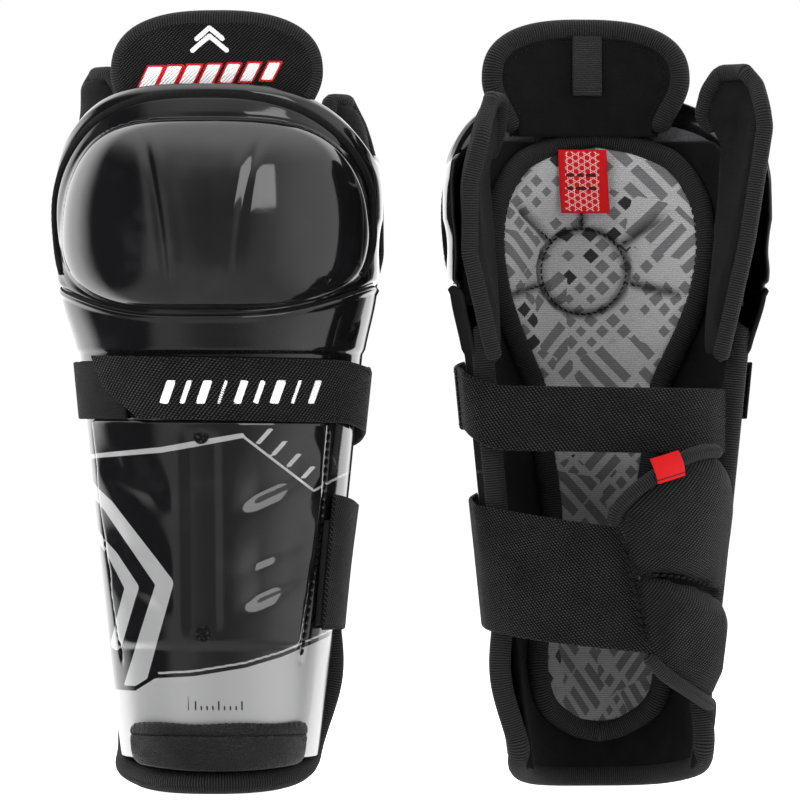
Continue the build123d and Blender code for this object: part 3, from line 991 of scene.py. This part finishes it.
def cap_stitch_path():
    turn = np.radians(np.linspace(-22, 202, 190))
    x = CAP_SEAM[0] * np.sign(np.cos(turn)) * np.abs(np.cos(turn)) ** (2 / 2.6)
    z = CAP_SEAM[2] + CAP_SEAM[1] * np.sign(np.sin(turn)) * np.abs(np.sin(turn)) ** (2 / 2.6)
    angle = angle_at(x, z, 0)
    return wall(z, angle, -0.7 + side_flare(z, angle))


def cap_binding():
    """The soft dark cord in the groove that the threads cross."""
    return tube(resample(cap_stitch_path(), 1.2), 1.45, 10)


def cap_threads():
    path = cap_stitch_path()
    outward = path * [1, 1, 0] / np.linalg.norm(path[:, :2], axis=1, keepdims=True)
    return stitches(path + outward * 0.9, 2.9, 3.4, 0.62, 0.6)


# --- Thigh flap ---
FLAP_BOTTOM, FLAP_TOP = 276.0, 326.0
FLAP_HALF, FLAP_DEPTH = 75.0, 41.5
FLAP_WIDEST = 300.0                 # the height at which it is widest
FLAP_OFF = 3.4                      # it sits a little towards the medial side


def flap_width(z, inset=0.0):
    """Half the flap's width: an oval above, narrowing to its root below."""
    above = np.clip((z - FLAP_WIDEST) / (FLAP_TOP - FLAP_WIDEST - inset), 0, 1)
    wide = (45.6 - inset) * np.maximum(1 - above ** 2.6, 0) ** (1 / 2.6)
    return wide - 9.0 * smooth((FLAP_WIDEST - z) / 24)


def flap_point(x, z, out):
    x, z, out = np.broadcast_arrays(np.asarray(x, float), z, out)
    turn = np.arcsin(np.clip(x / FLAP_HALF, -1, 1))
    return np.stack([x + out * np.sin(turn) + FLAP_OFF, -(FLAP_DEPTH + out) * np.cos(turn), z], -1)


def flap_sheet(inset, out, thickness, edge, rows=90, cols=120):
    z = spaced(FLAP_BOTTOM, FLAP_TOP - inset - 0.3, rows, 0.8)[:, None]
    x = flap_width(z, inset) * spaced(-1, 1, cols, 0.3)[None, :]
    z, x = np.broadcast_arrays(z, x)
    return pad(flap_point(x, z, out), thickness, edge, np.stack([x, z], -1))


def flap_panel():
    """The woven front panel, with a white chevron badge and red-edged slanted bars."""
    shape = flap_sheet(5.4, 1.4, 3.2, 2.4)
    x, z = shape.points[:, 0] - FLAP_OFF, shape.points[:, 2]
    back = np.repeat([0.0, 99.0], len(x) // 2)
    bars = np.full(len(x), 99.0)
    for step in range(7):
        width, height = 6.3 - 0.3 * step, 8.8 - 0.3 * step
        centre = (-26.5 + 8.4 * step, 297.9 + 0.4 * step)
        bars = np.minimum(bars, bar_distance(x, z, centre, width, height, 0.5))
    badge = np.minimum(line_distance(x, z, ((-8.6, 309.0), (-1.4, 315.0), (5.8, 309.0))),
                       line_distance(x, z, ((-6.8, 313.9), (-1.4, 318.4), (4.0, 313.9)))) - 0.95
    shape.values["white"] = np.minimum(bars, badge) + back
    shape.values["red"] = bars - 0.8 + back
    return shape


def flap_outline(inset, out, bottom):
    z = spaced(bottom, FLAP_TOP - inset - 0.02, 70, 0.95)
    right = flap_point(flap_width(z, inset), z, out)
    left = flap_point(-flap_width(z, inset), z, out)
    return resample(np.concatenate([right, left[::-1]]), 1.3)


def flap_binding():
    return tube(flap_outline(4.5, -1.7, 277.5), 4.5, 18)


def flap_threads():
    front = stitches(flap_outline(6.4, 2.6, 284), 2.6, 1.9, 0.30)
    back = stitches(flap_outline(9.6, -4.6, 284), 2.6, 1.9, 0.34)
    return joined([front, back])


def flap_lining():
    return flap_sheet(6.6, -3.2, 2.8, 2.0)


def pull_loop():
    """A ribbon folded back on itself, hanging from the flap's binding."""
    turn = np.linspace(0, pi, 9)
    tip = np.stack([-35.7 + 1.2 * np.sin(turn), 294.8 - 1.2 * np.cos(turn)], -1)
    down, up = np.linspace((-36.6, 320), (-35.9, 294), 24), np.linspace((-34.4, 296), (-35.4, 319), 24)
    fold = np.concatenate([down, tip, up])
    across = spaced(-6.25, 6.25, 16)[None, :] + 2.5
    path = np.broadcast_to(fold[:, None, :], (len(fold), 16, 2))
    middle = np.stack([np.broadcast_to(across, path.shape[:2]), path[..., 0], path[..., 1]], -1)
    walked = np.insert(np.cumsum(np.linalg.norm(np.diff(fold, axis=0), axis=1)), 0, 0)
    sheet = np.stack([middle[..., 0], np.broadcast_to(walked[:, None], middle.shape[:2])], -1)
    return pad(middle, 0.7, 0.35, sheet)


LABEL_X, LABEL_Y = 4.4, -37.6


def size_label():
    low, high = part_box("a_size_label")
    top, bottom = high.z / MM, low.z / MM
    z = spaced(bottom, top, 40)[:, None]
    x = spaced(-10.5, 10.5, 30)[None, :] + LABEL_X
    z, x = np.broadcast_arrays(z, x)
    curl = 1.4 * smooth((bottom + 10 - z) / 10) + 0.5 * np.sin((x - LABEL_X) / 4)
    middle = np.stack([x - (top - z) * 0.05, LABEL_Y + curl, z], -1)
    shape = pad(middle, 0.7, 0.35, np.stack([x, z], -1))
    side, height = shape.points[:, 0] - LABEL_X, shape.points[:, 2] - (top + bottom) / 2
    shape.values["net"] = np.maximum(np.abs(side) - 7.4, np.abs(height) - 12.6)
    ink = np.full(len(side), 99.0)
    for row, widths in ((2.6, (4.6, 3.0, 3.6)), (-3.0, (3.2, 4.8, 3.0))):
        left = -6.2
        for width in widths:
            ink = np.minimum(ink, bar_distance(side, height, (left + width / 2, row), width, 1.5, 0))
            left += width + 1.0
    shape.values["ink"] = ink
    return shape


# --- Side wings ---
class Cuff:
    """One of the padded wings beside the knee: it stands back from the shell and flares outwards.

    rear and front hold (height, distance from the leg's axis across it), root holds (height, y)."""

    def __init__(self, side, top, rear, front, root):
        self.side, self.top = side, top
        self.rear, self.front, self.root = rear, front, root

    def rear_x(self, z):
        return self.side * np.interp(z, *zip(*self.rear))

    def front_point(self, z):
        x, y = np.interp(z, *zip(*self.front)), np.interp(z, *zip(*self.root))
        return self.side * x, y

    def surface(self, z, share):
        """A bent line in plan from the shell's inside to the wing's rear edge, at every height."""
        rear_x = self.rear_x(z)
        rear_y = 33 - 13 * smooth((z - self.top + 20) / 22)
        front_x, front_y = self.front_point(z)
        widest = np.maximum(np.abs(front_x), np.abs(rear_x))
        bow_x = self.side * widest * (0.93 + 0.08 * smooth((z - 225) / 30))
        bow_y = front_y + (rear_y - front_y) * 0.5
        first, second, third = (1 - share) ** 2, 2 * share * (1 - share), share ** 2
        x = first * front_x + second * bow_x + third * rear_x
        y = first * front_y + second * bow_y + third * rear_y
        return np.stack([x, y, z + 0 * x], -1)

    def padding(self):
        z = spaced(181, self.top - 2, 100, 0.8)[:, None]
        share = spaced(0, 1, 64, 0.6)[None, :]
        z, share = np.broadcast_arrays(z, share)
        middle = self.surface(z, share)
        spot = np.stack([middle[..., 1] * 1.3, z], -1)
        return inflate(pad(middle, 6.2, 6.0, spot), cap=1.6)

    def roll(self):
        z = spaced(180, self.top - 1.5, 100, 0.8)
        rear = self.surface(z, np.full(z.shape, 0.985))
        over = self.surface(np.full(16, self.top - 1.5), np.linspace(0.985, 0.05, 16))
        down = self.surface(np.linspace(self.top - 1.5, self.top - 26, 18), np.full(18, 0.03))
        line = np.concatenate([rear, over[1:], down[1:]])
        soft = np.concatenate([line[:1], (line[:-2] + 2 * line[1:-1] + line[2:]) / 4, line[-1:]])
        return tube(resample(soft, 1.5), 3.5, 16)


LATERAL = Cuff(-1, 303.0, ((171, 41), (195, 47), (230, 55), (278, 62.5), (296, 60), (304, 54)),
               ((176, 46), (272, 50), (284, 40), (294, 42), (303, 48)),
               ((176, -2), (262, -8), (282, -3), (303, 8)))
MEDIAL = Cuff(1, 291.0, ((175, 50), (200, 56), (225, 62), (255, 61.5), (280, 55), (292, 50)),
              ((176, 46), (262, 50), (276, 45), (291, 45)),
              ((176, -2), (255, -8), (276, -2), (291, 8)))


# --- Calf wing ---
# the pads' edges, as (angle, height) points
UPPER_TOP = ((-186, 111.5), (-183.5, 119), (-174, 128), (-161, 136), (-148, 141.5), (-132, 142), (-116, 132),
             (-107.5, 118))
UPPER_LOW = ((-176.5, 92), (-156, 91), (-136, 87.5), (-107.5, 82))
LOWER_TOP = ((-176, 91), (-156, 90), (-136, 86.5), (-107.5, 81))
LOWER_LOW = ((-168, 58.4), (-155, 49.5), (-137.5, 42.7), (-120, 38), (-107.5, 36))


def along_line(corners, share):
    """The point a share of the way along a smooth line through these corners."""
    line = smooth_line(corners, 0.5)
    steps = np.linspace(0, 1, len(line))
    return np.interp(share, steps, line[:, 0]), np.interp(share, steps, line[:, 1])


def calf_pad(low, high, rows, ridge, lean):
    """A quilted pad with bevelled sides between two edge lines.

    ridge is where its top plane folds; lean is how far its hinge side stands out."""
    share = spaced(0, 1, rows, 0.8)[:, None]
    across = spaced(0, 1, 96, 0.6)[None, :]
    low_angle, low_z = along_line(low, across)
    high_angle, high_z = along_line(high, across)
    angle = low_angle + (high_angle - low_angle) * share
    z = low_z + (high_z - low_z) * share
    flat = wall(z, angle, -3.0)
    bevel = np.clip((border_distance(flat) - 2.5) / 10, 0, 1)
    fold = np.clip(np.abs(across - 0.30 - ridge * (share - 0.5)) / 0.20, 0, 1)
    swell = 3.6 + 1.5 * fold + 1.4 * np.sin(across * pi) + lean * smooth((across - 0.35) / 0.5)
    out = -3.6 + swell * bevel
    return inflate(pad(wall(z, angle, out), 5.6, 5.0, unrolled(z, angle, 52)), voxel=3.2, cap=0.9)


def calf_rolls():
    """Ribbed rolls along the pads' upper and lower edges."""
    rolls = []
    for corners, tail, reach in ((UPPER_TOP, (), 0.66), (LOWER_LOW, ((-103.5, 31), (-102, 24)), 1.0)):
        angle, z = along_line(corners + tail, np.linspace(0, reach, 90))
        rolls.append(tube(resample(wall(z, angle, -1.2), 1.4), 3.1, 14))
    return joined(rolls)


def calf_seams():
    """Heavy thread down the strap's seam and along the line between the pads."""
    share = np.linspace(0, 1, 70)
    angle, z = along_line(UPPER_LOW, share * 0.8)
    between = stitches(wall(z, angle, 0.2), 3.4, 2.6, 0.5, 0.3)
    down = np.array(((-183, 112.5), (-176.5, 92), (-167.5, 60)))
    lines = [between]
    for shift in (-1.0, 1.6):
        angle, z = along_line(down + (shift, 0), share)
        lines.append(stitches(wall(z, angle, -0.6), 3.2, 2.5, 0.62, 0.5))
    return joined(lines)


def calf_tag():
    across = spaced(0, 1, 20)[None, :]
    share = spaced(0, 1, 24)[:, None]
    angle = -155 - 12.5 * across - 4 * share
    z = 132.8 - 3.6 * across + 10.5 * share
    z, angle = np.broadcast_arrays(z, angle)
    shape = on_wall(z, angle, 2.7 + 1.3 * np.sin(share * pi), 0.9, 0.45)
    hem = np.abs(np.broadcast_to(share, z.shape) - 0.16) * 11 - 0.3
    shape.values["net"] = np.full(len(shape.points), 99.0)
    shape.values["ink"] = np.tile(hem.ravel(), 2)
    return shape


# --- Straps ---
def ribbon(low_path, high_path, low, high, late, thickness=1.8, rows=44):
    """A flat strap between a lower and an upper line in plan; low and high are its edges at start and end.

    late is the share of its climb that it makes in its last quarter."""
    count = min(len(low_path), len(high_path))
    pick = np.linspace(0, 1, count)
    take = [np.stack([np.interp(pick, np.linspace(0, 1, len(path)), path[:, k]) for k in (0, 1)], -1)
            for path in (low_path, high_path)]
    share = spaced(0, 1, rows, 0.7)[:, None, None]
    plan = take[0][None] * (1 - share) + take[1][None] * share
    climb = (1 - late) * pick + late * smooth((pick - 0.75) / 0.25)
    low, high = (start + (end - start) * climb for start, end in (low, high))
    z = low[None] + (high - low)[None] * share[..., 0]
    middle = np.concatenate([plan, z[..., None]], -1)
    walked = np.insert(np.cumsum(np.linalg.norm(np.diff(take[0], axis=0), axis=1)), 0, 0)
    sheet = np.stack([np.broadcast_to(walked[None], z.shape), z], -1)
    return pad(middle, thickness, 0.9, sheet)


def without_print(shape, *names):
    for name in names:
        shape.values[name] = np.full(len(shape.points), 99.0)
    return shape


def plan_points(z, angles, out):
    return [tuple(wall(z, angle, out)[:2]) for angle in angles]


# the straps' lines across the back of the leg, as (x, y) points
UPPER_ACROSS = [(-47.5, 19.5), (-38, 31), (-22, 39), (0, 42), (22, 39.5), (42, 32), (54, 24)]
LOWER_ACROSS = [(-14, 48.6), (3, 49.0), (16, 46.0), (30, 39), (42, 28)]
UPPER_OUT, LOWER_OUT = 2.9, 2.6     # how far outside the shell's face the straps run
UPPER_ENDS, LOWER_ENDS = (103, 97, 91.5), (103, 94, 84, 74, 64)     # angles at which they wrap its edge


def upper_strap():
    """Across the back of the leg, a little lower there than where it meets its free end."""
    low, high = (smooth_line(UPPER_ACROSS + plan_points(z, UPPER_ENDS, UPPER_OUT)) for z in (148, 174))
    return without_print(ribbon(low, high, (141.4, 151.5), (168.6, 178.0), 0.8), "white")


def tab_low(across):
    """The free end's lower edge, rising over the shin's side and then more gently to its tip."""
    return 151.4 + 2.4 * smooth(across / 0.24) + 2.6 * across


def upper_tab():
    """The free end: across the shin's front, rising to its slanted tip, with white slanted bars."""
    share = spaced(0, 1, 40, 0.7)[:, None]
    across = np.linspace(0, 1, 190)[None, :]
    tip = np.interp(share, (0, 0.5, 1), (-26, -43.5, -50))
    angle = 90.5 + (tip - 90.5) * across
    low = tab_low(across)
    z = low + share * 26.2
    z, angle = np.broadcast_arrays(z, angle)
    shape = pad(wall(z, angle, UPPER_OUT), 1.8, 0.9, unrolled(z, angle, 58))
    x, height = seen_x(shape.points), shape.points[:, 2]
    bars = np.full(len(x), 99.0)
    for step in range(9):
        width = (3.8, 2.2, 3.8, 1.4, 3.2, 2.2, 3.8, 1.4, 2.6)[step]
        bars = np.minimum(bars, bar_distance(x, height, (-20.5 + 7.6 * step, 167.3), width, 9.6, 0.35))
    shape.values["white"] = bars + np.repeat([99.0, 0.0], len(x) // 2)
    return shape


def lower_strap():
    """The wide strap: it leaves the pads at a slanted seam and wraps the shell's +X edge."""
    low = smooth_line(LOWER_ACROSS + plan_points(66, LOWER_ENDS, LOWER_OUT))
    high = smooth_line([(-1, 49.5)] + LOWER_ACROSS[2:] + plan_points(118, LOWER_ENDS, LOWER_OUT))
    return without_print(ribbon(low, high, (58.6, 71.0), (111.0, 125.0), 0.0), "white")


def tab_threads():
    """Two lines of thread along the free end's edges."""
    angle = np.linspace(88, -26, 200)
    lines = []
    for lift in (2.0, 24.2):
        z = tab_low(np.linspace(0, 1, 200)) + lift
        lines.append(stitches(wall(z, angle, 3.85), 2.6, 1.9, 0.2))
    return joined(lines)


def patch(heights, angles, out, thickness, edge):
    """A plain field of hooks or loops; heights and angles are each (start, end, count)."""
    return on_wall(spaced(*heights)[:, None], spaced(*angles)[None, :], out, thickness, edge)


# --- Putting the pieces on both guards ---
KNEE_BEND = ("knee", (0, 0, 196), (0, 0, 214))

place("shell_moulding", shin_shell(), SHELL, "shin", ["shin_shell"])
place("shell_threads", shell_threads(), THREAD, "shin")
place("rim_edge", rim_binding(), BINDING, "shin")
place("toe_leather", toe_binding(), LEATHER, "shin", ["toe_binding"])
place("toe_threads", toe_threads(), THREAD, "shin")
place("edge_padding", edge_roll(), BINDING, "shin", ["base_roll"])
place("inner_lining", lining(), LINING, "shin", ["shin_carrier", "knee_carrier"], KNEE_BEND)
place("quilted_liner", liner(), LINER, "shin", ["shin_liner", "knee_liner"], KNEE_BEND)
place("liner_roll", liner_piping(), BINDING, "shin", (), KNEE_BEND)
place("quilt_threads", quilt_threads(), THREAD, "shin", (), KNEE_BEND)
place("liner_threads", liner_threads(), THREAD, "shin", (), KNEE_BEND)
place("cap_moulding", knee_cap(), CAP, "knee", ["knee_cap"])
place("cap_binding", cap_binding(), THREAD, "knee")
place("cap_threads", cap_threads(), THREAD, "knee")
place("flap_panel", flap_panel(), PANEL, "flap", ["flap_front", "flap_core"])
place("flap_roll", flap_binding(), BINDING, "flap", ["flap_binding"])
place("flap_threads", flap_threads(), THREAD, "flap")
place("flap_inside", flap_lining(), LINING, "flap", ["flap_lining"])
place("pull_tape", pull_loop(), TAPE, "pull_loop", ["pull_loop"])
place("woven_label", size_label(), RED, "label", ["size_label"])
for wing_name, cuff in (("lateral", LATERAL), ("medial", MEDIAL)):
    fold = (f"{wing_name}_wing", (cuff.side * 54, 12, 240), (cuff.side * 50, 28, 240))
    place(f"{wing_name}_wing_pad", cuff.padding(), WING, "knee", [f"{wing_name}_wing"], fold)
    place(f"{wing_name}_wing_roll", cuff.roll(), BINDING, "knee", (), fold)
place("calf_pad_high", without_print(calf_pad(UPPER_LOW, UPPER_TOP, 60, 0.5, -4.0)), CALF, "calf_wing",
      ["calf_pad_upper"])
place("calf_pad_low", without_print(calf_pad(LOWER_LOW, LOWER_TOP, 52, -0.4, 1.6)), CALF, "calf_wing",
      ["calf_pad_lower"])
place("calf_rolls", calf_rolls(), BINDING, "calf_wing", ["calf_piping"])
place("calf_threads", calf_seams(), THREAD, "calf_wing")
place("calf_red_tag", calf_tag(), RED, "calf_wing", ["calf_tag"])
place("wide_strap", lower_strap(), WEBBING, "calf_wing", ["lower_strap"],
      ("lower_strap", (-12, 48, 90), (14, 46, 90)))
place("wide_strap_hooks", patch((68, 116, 40), (65, 97, 50), 1.7, 0.8, 0.4), NAP, "lower_strap",
      ["lower_hook"])
place("narrow_strap", upper_strap(), WEBBING, "upper_strap", ["upper_strap"])
place("narrow_strap_tab", upper_tab(), WEBBING, "upper_tab", ["upper_tab"])
place("tab_threads", tab_threads(), THREAD, "upper_tab")
place("front_loop_pad", patch((156, 180, 30), (-96, -33, 70), 0.9, 1.3, 0.6), NAP, "shin",
      ["upper_loop_patch"])
place("side_loop_pad", patch((70, 114, 40), (61, 98, 50), 0.5, 1.2, 0.6), NAP, "shin",
      ["lower_loop_patch"])

hidden_materials = {"shin_foam": FOAM, "cap_foam": FOAM, "rivets": LACQUER, "rivet_washers": LACQUER}
for node, material in hidden_materials.items():
    for guard in GUARDS:
        cad = frame["nodes"][f"{guard}_{node}"]
        cad.data.materials.clear()
        cad.data.materials.append(material)


# --- Floor, light and camera ---
def floor():
    mesh = bpy.data.meshes.new("floor")
    size = 6.0
    corners = [(x * size, y * size, 0) for x, y in ((-1, -1), (1, -1), (1, 1), (-1, 1))]
    mesh.from_pydata(corners, [], [(0, 1, 2, 3)])
    ground = bpy.data.objects.new("floor", mesh)
    bpy.context.scene.collection.objects.link(ground)
    p = Paint("pale_floor")
    spot = p.add("ShaderNodeTexCoord", output="Object")
    tone = p.mix(p.noise(spot, 3.0), grey(0.86), grey(0.88))
    mesh.materials.append(p.done(tone, 0.9, None, **{"Emission Color": tone, "Emission Strength": 1.0}))
    ground.visible_glossy = False


def softbox(name, spot, target, size, power, mirrored=False):
    light = bpy.data.lights.new(name, "AREA")
    light.shape, light.size, light.size_y, light.energy = "RECTANGLE", size[0], size[1], power
    lamp = bpy.data.objects.new(name, light)
    lamp.location = spot
    lamp.rotation_mode = "QUATERNION"
    lamp.rotation_quaternion = (Vector(target) - Vector(spot)).to_track_quat("-Z", "Y")
    lamp.visible_glossy = mirrored
    bpy.context.scene.collection.objects.link(lamp)


def studio():
    """White to the camera; what the gloss mirrors is a dim room with a white wall behind the object.

    The mirrored room is darkest at the left, so that the shells show a dark upright band."""
    world = bpy.data.worlds.new("studio")
    bpy.context.scene.world = world
    p = Paint("studio", world)
    direction = p.add("ShaderNodeTexCoord", output="Generated")
    x, y, z = (p.axis(direction, which) for which in range(3))
    behind = p.ramp(y, 0.22, 0.55)
    left = p.times(p.ramp(x, -0.72, -0.86), p.ramp(y, 0.35, 0.2))
    facing = p.ramp(y, -0.80, -0.99)
    level = p.math("MULTIPLY_ADD", facing, -0.24, 0.42)
    level = p.plus(level, p.ramp(x, 0.55, 0.95, 0.0, 0.5))
    level = p.times(level, p.math("MULTIPLY_ADD", left, -0.97, 1.0))
    level = p.math("MULTIPLY_ADD", behind, 1.5, level)
    level = p.math("MULTIPLY_ADD", p.ramp(z, 0.35, 0.9), 1.2, level)
    ray = p.tree.nodes.new("ShaderNodeLightPath")
    room = p.add("ShaderNodeBackground", {"Color": grey(1), "Strength": level})
    soft = p.add("ShaderNodeBackground", {"Color": grey(1), "Strength": 0.20})
    seen = p.add("ShaderNodeBackground", {"Color": grey(1), "Strength": 1.0})
    lit = p.add("ShaderNodeMixShader", (ray.outputs["Is Glossy Ray"], soft, room))
    shown = p.add("ShaderNodeMixShader", (ray.outputs["Is Camera Ray"], lit, seen))
    p.add("ShaderNodeOutputWorld", (shown,))
    centre = (0, 0, 0.17)
    softbox("key", (-0.9, -1.1, 0.95), centre, (0.7, 0.7), 15)
    softbox("left_wall", (-1.15, 0.05, 0.30), centre, (0.5, 1.3), 11)
    softbox("right_wall", (1.15, 0.05, 0.30), centre, (0.5, 1.3), 11)
    softbox("top", (0, 0.1, 1.3), centre, (1.4, 0.9), 11)
    softbox("back", (0, 1.4, 0.7), centre, (1.6, 0.8), 8)
    softbox("window", (0.62, -1.25, 0.62), (-0.08, 0, 0.24), (0.75, 0.60), 4.0, mirrored=True)


def camera():
    low, high = cad_box
    eye = bpy.data.cameras.new("camera")
    distance, view_height = 3.2, 0.3365
    aside, above = -0.0055, 0.001
    eye.sensor_width = 36
    eye.lens = 18 / (view_height / 2 / distance)
    shot = bpy.data.objects.new("camera", eye)
    middle = (low + high) / 2
    shot.location = (middle.x + aside, middle.y - distance, middle.z + above)
    shot.rotation_euler = (pi / 2, 0, 0)
    eye.clip_end = 50
    bpy.context.scene.collection.objects.link(shot)
    bpy.context.scene.camera = shot


floor()
studio()
camera()
bpy.context.scene.view_settings.view_transform = "Standard"
